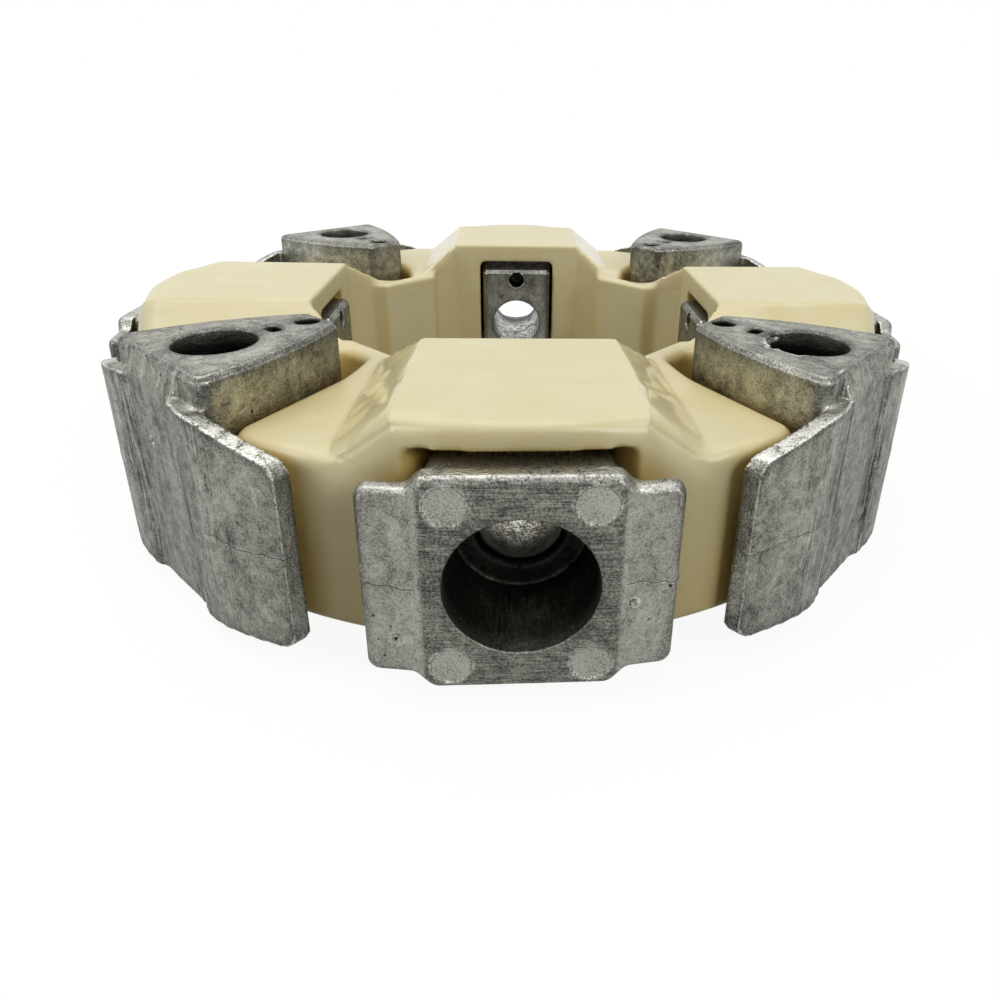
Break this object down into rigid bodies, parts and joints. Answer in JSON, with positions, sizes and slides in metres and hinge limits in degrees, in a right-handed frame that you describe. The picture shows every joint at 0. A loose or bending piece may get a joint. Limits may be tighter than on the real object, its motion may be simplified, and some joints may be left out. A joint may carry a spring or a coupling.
{
  "type": "engine coupling",
  "caption": "Flexible engine coupling: a moulded ring whose lobes and pockets hold cast claws that bolt radially to a hub and axially to a flywheel.",
  "frame": {"origin": "centre of the coupling's axis, level with the underside of the axial claws", "axes": "+Z along the axis, -Y towards the radial claw at the front, +X towards the one at the right"},
  "size_m": [0.1976, 0.1976, 0.0525],
  "materials": {
    "moulded_elastomer": "satin, moulded",
    "cast_aluminium": "as cast"
  },
  "bodies": {
    "root": {"flexible_ring": "moulded_elastomer", "radial_claw_right": "cast_aluminium", "radial_claw_back": "cast_aluminium", "radial_claw_left": "cast_aluminium", "radial_claw_front": "cast_aluminium", "axial_claw_back_right": "cast_aluminium", "axial_claw_back_left": "cast_aluminium", "axial_claw_front_left": "cast_aluminium", "axial_claw_front_right": "cast_aluminium"}
  },
  "joints": []
}
